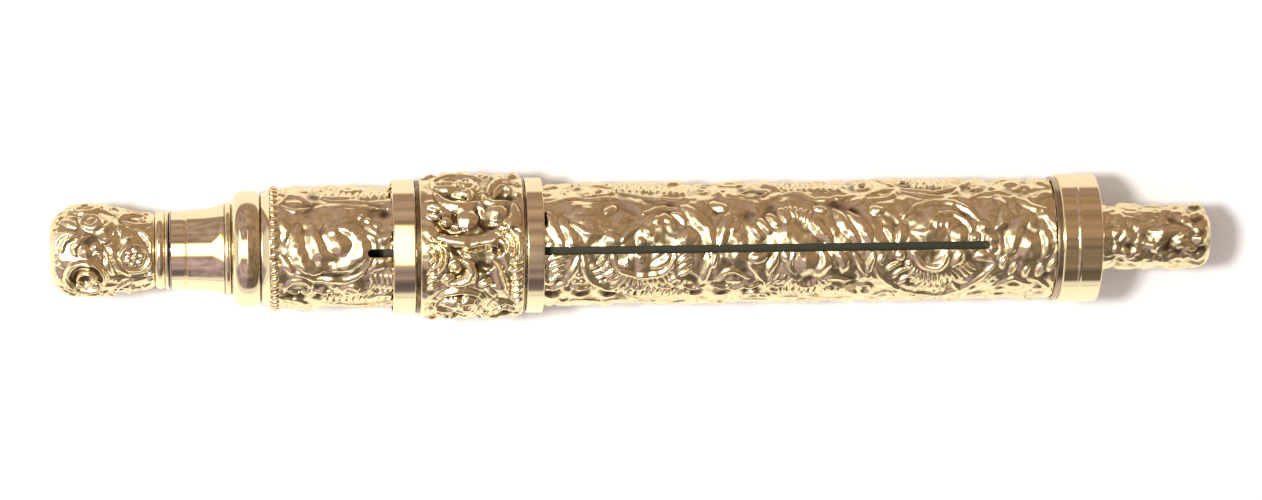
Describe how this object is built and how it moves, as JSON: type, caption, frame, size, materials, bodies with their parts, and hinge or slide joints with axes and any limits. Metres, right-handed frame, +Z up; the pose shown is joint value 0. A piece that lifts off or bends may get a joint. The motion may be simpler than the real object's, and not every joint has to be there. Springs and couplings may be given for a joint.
{
  "type": "combination pen and pencil",
  "caption": "Slim chased gold combination writing instrument: a thumb ring slides a dip nib out of the slotted barrel and a turning knob propels the pencil lead.",
  "frame": {"origin": "on the floor under the middle of the pen's length, below its axis", "axes": "+X along the pen from the knob to the pencil nose, +Z up through the slot of the barrel, +Y to the left of the slot when looking along +X"},
  "size_m": [0.098, 0.0122, 0.0122],
  "materials": {
    "chased_gold": "chased relief, worn polish",
    "polished_gold": "polished",
    "nib_gold": "polished",
    "dull_brass": "dull, tarnished",
    "steel": "plain",
    "graphite": "matt"
  },
  "bodies": {
    "barrel": {"barrel_tube": "chased_gold", "mouth_band": "polished_gold", "bead_ring": "polished_gold", "neck_sleeve": "polished_gold", "pencil_tube": "dull_brass", "pencil_nose": "chased_gold", "nose_bush": "steel"},
    "pen_slide": {"ring_sleeve": "chased_gold", "ring_band_rear": "polished_gold", "ring_band_front": "polished_gold", "slide_key": "polished_gold", "carriage_tube": "dull_brass", "carriage_bush": "dull_brass", "nib_sleeve": "dull_brass", "pen_nib": "nib_gold", "drag_spring": "steel"},
    "knob": {"knob_body": "chased_gold", "knob_collar": "polished_gold", "propel_screw": "steel", "screw_flange": "steel"},
    "lead_feed": {"lead_driver": "dull_brass", "driver_pin": "steel", "pencil_lead": "graphite"}
  },
  "joints": [
    {"name": "nib_slide", "type": "slide", "parent": "barrel", "child": "pen_slide", "axis": [1, 0, 0], "range_m": [-0.002, 0.037]},
    {"name": "knob_turn", "type": "hinge", "parent": "barrel", "child": "knob", "pos_m": [0, 0, 0.00612], "axis": [1, 0, 0], "range_deg": [0, 2064]},
    {"name": "lead_travel", "type": "slide", "parent": "barrel", "child": "lead_feed", "axis": [1, 0, 0], "range_m": [0, 0.0086]}
  ],
  "couplings": [
    {"joint": "knob_turn", "follows": "lead_travel", "rad_per_m": 4188.8}
  ]
}
